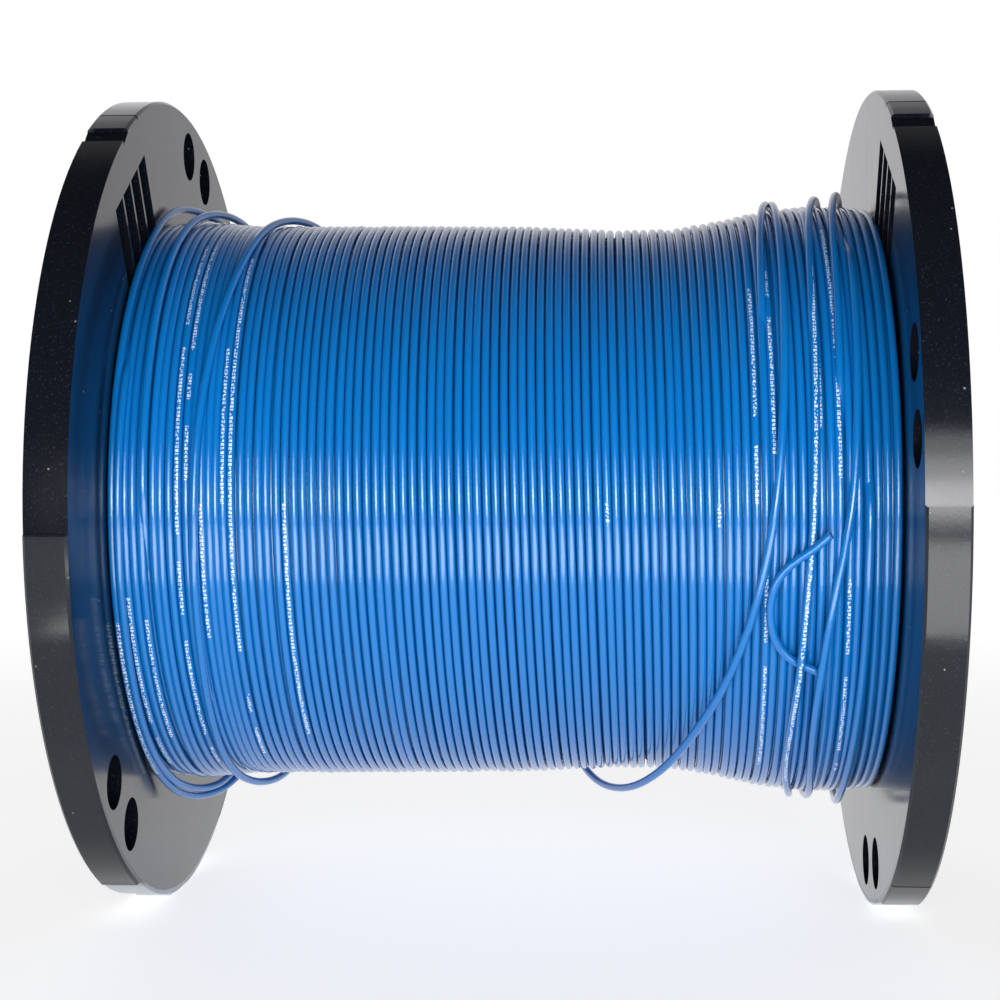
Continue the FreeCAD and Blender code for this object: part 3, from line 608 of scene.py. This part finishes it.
# bare face of the stranded copper at the cut: one strand, six round it, twelve round those
tip, before = end_line[-1], end_line[-2]
t_ = (tip - before) / np.linalg.norm(tip - before)
n_ = np.cross(t_, (0.0, 0.0, 1.0))
n_ /= np.linalg.norm(n_)
b_ = np.cross(t_, n_)
cut = Batch()
R_STR = 0.00016
for ringr, count in ((0.0, 1), (0.00033, 6), (0.00065, 12)):
    for k in range(count):
        an = 2 * math.pi * k / count
        c0 = tip + ringr * (math.cos(an) * n_ + math.sin(an) * b_)
        circ_ = [c0 + R_STR * (math.cos(w) * n_ + math.sin(w) * b_) for w in np.linspace(0, 2 * math.pi, 9)[:8]]
        vv = [p_ - 0.0002 * t_ for p_ in circ_] + [p_ + 0.00009 * t_ for p_ in circ_] + [c0 + 0.00013 * t_]
        ff = [(q_, (q_ + 1) % 8, 8 + (q_ + 1) % 8, 8 + q_) for q_ in range(8)] + [(8 + q_, 9 + q_, 8 + (q_ + 2) % 8, 16) for q_ in range(0, 8, 2)]
        cut.add(np.array(vv), np.array(ff), np.zeros((len(ff) * 4, 2)))
copper = cut.build("copper_strands")
copper.data.materials.append(COPPER_MAT)
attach(copper, "root")
for o, pts, ln, tgt in ((slack, slack_pts, slack_len, "wire_slack_turn"), (endp, end_pts, end_len, "wire_outer_end")):
    o.data.materials.append(WIRE_MAT)
    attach(o, "root")
    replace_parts(o, tgt)
print("loose lengths", slack_len, end_len)

# ------------------------------------------------------------------ floor, light
FLOOR_GLOW = 0.74
DARK_ROOM = 0.035
CARD = 4.6
LIGHTS = [("front_main", 0.045, 0.15, 14.5), ("front_low", -0.085, 0.11, 10.0), ("front_high", 0.20, 0.16, 6.5), ("front_top", 0.36, 0.16, 3.2)]
floor = mesh_object("floor", [(-4, -0.92, FLOOR), (4, -0.92, FLOOR), (4, 5, FLOOR), (-4, 5, FLOOR)], [(0, 1, 2, 3)], smooth=False)
fm = bpy.data.materials.new("pale_floor")
nt, b = nodes_of(fm)
b.inputs["Base Color"].default_value = (0.5, 0.5, 0.5, 1)
b.inputs["Roughness"].default_value = 0.7
b.inputs["Specular IOR Level"].default_value = 0.1
b.inputs["Emission Color"].default_value = (1, 1, 1, 1)
b.inputs["Emission Strength"].default_value = FLOOR_GLOW
# the floor brightens away from the reel and runs into the white backdrop
ftc = nt.nodes.new("ShaderNodeTexCoord")
fsep = nt.nodes.new("ShaderNodeSeparateXYZ")
nt.links.new(ftc.outputs["Object"], fsep.inputs[0])
far = nt.nodes.new("ShaderNodeMapRange")
far.interpolation_type = "SMOOTHSTEP"
nt.links.new(fsep.outputs[1], far.inputs["Value"])
far.inputs["From Min"].default_value = 0.10
far.inputs["From Max"].default_value = 1.50
far.inputs["To Min"].default_value = FLOOR_GLOW
far.inputs["To Max"].default_value = FLOOR_GLOW + 0.14
nt.links.new(far.outputs[0], b.inputs["Emission Strength"])
floor.data.materials.append(fm)

# world: white backdrop behind the reel, a dark room in front of it
world = bpy.data.worlds.new("studio")
scene.world = world
world.use_nodes = True
wt = world.node_tree
wt.nodes.clear()
wout = wt.nodes.new("ShaderNodeOutputWorld")
bg = wt.nodes.new("ShaderNodeBackground")
wt.links.new(bg.outputs[0], wout.inputs[0])
wtc = wt.nodes.new("ShaderNodeTexCoord")
wsep = wt.nodes.new("ShaderNodeSeparateXYZ")
wt.links.new(wtc.outputs["Generated"], wsep.inputs[0])
back = wt.nodes.new("ShaderNodeMapRange")
back.interpolation_type = "SMOOTHSTEP"
wt.links.new(wsep.outputs[1], back.inputs["Value"])
back.inputs["From Min"].default_value = -0.10
back.inputs["From Max"].default_value = 0.45
back.inputs["To Min"].default_value = DARK_ROOM
back.inputs["To Max"].default_value = 0.95
high = wt.nodes.new("ShaderNodeMapRange")
high.interpolation_type = "SMOOTHSTEP"
wt.links.new(wsep.outputs[2], high.inputs["Value"])
high.inputs["From Min"].default_value = 0.42
high.inputs["From Max"].default_value = 1.0
high.inputs["To Min"].default_value = 1.0
high.inputs["To Max"].default_value = DARK_ROOM
lp = wt.nodes.new("ShaderNodeLightPath")
across = wt.nodes.new("ShaderNodeMapRange")
wt.links.new(wsep.outputs[0], across.inputs["Value"])
across.inputs["From Min"].default_value = -0.30
across.inputs["From Max"].default_value = 0.30
across.inputs["To Min"].default_value = 1.05
across.inputs["To Max"].default_value = 0.74
side_level = math_node(wt, "MULTIPLY", math_node(wt, "MULTIPLY", back.outputs[0], high.outputs[0]), across.outputs[0])
level = math_node(wt, "MAXIMUM", side_level, lp.outputs["Is Camera Ray"])
level = math_node(wt, "MAXIMUM", level, DARK_ROOM)
wt.links.new(level, bg.inputs[1])
wt.links.new(mix_color(wt, lp.outputs["Is Camera Ray"], (0.975, 0.960, 1.0, 1), (1, 1, 1, 1)), bg.inputs[0])


def area(name, loc, aim, size, size_y, power, color=(1, 1, 1)):
    d = bpy.data.lights.new(name, "AREA")
    d.shape = "RECTANGLE"
    d.size, d.size_y = size, size_y
    d.energy = power
    d.color = color
    o = link(bpy.data.objects.new(name, d))
    o.location = loc
    o.rotation_euler = (Vector(aim) - Vector(loc)).to_track_quat("-Z", "Y").to_euler()
    o.visible_camera = False
    return o


for name, z, high, level in LIGHTS:
    area(name, (0.135, -1.45, z), (0.135, 0, z), 1.08, high, level * math.pi * 1.08 * high)
# pale card lying in front of the reel, lighting it from below
area("front_card", (0.19, -0.61, FLOOR + 0.002), (0.19, -0.61, 1), 0.78, 0.62, CARD * math.pi * 0.78 * 0.62)
scene.view_settings.view_transform = "Standard"
scene.view_settings.look = "None"
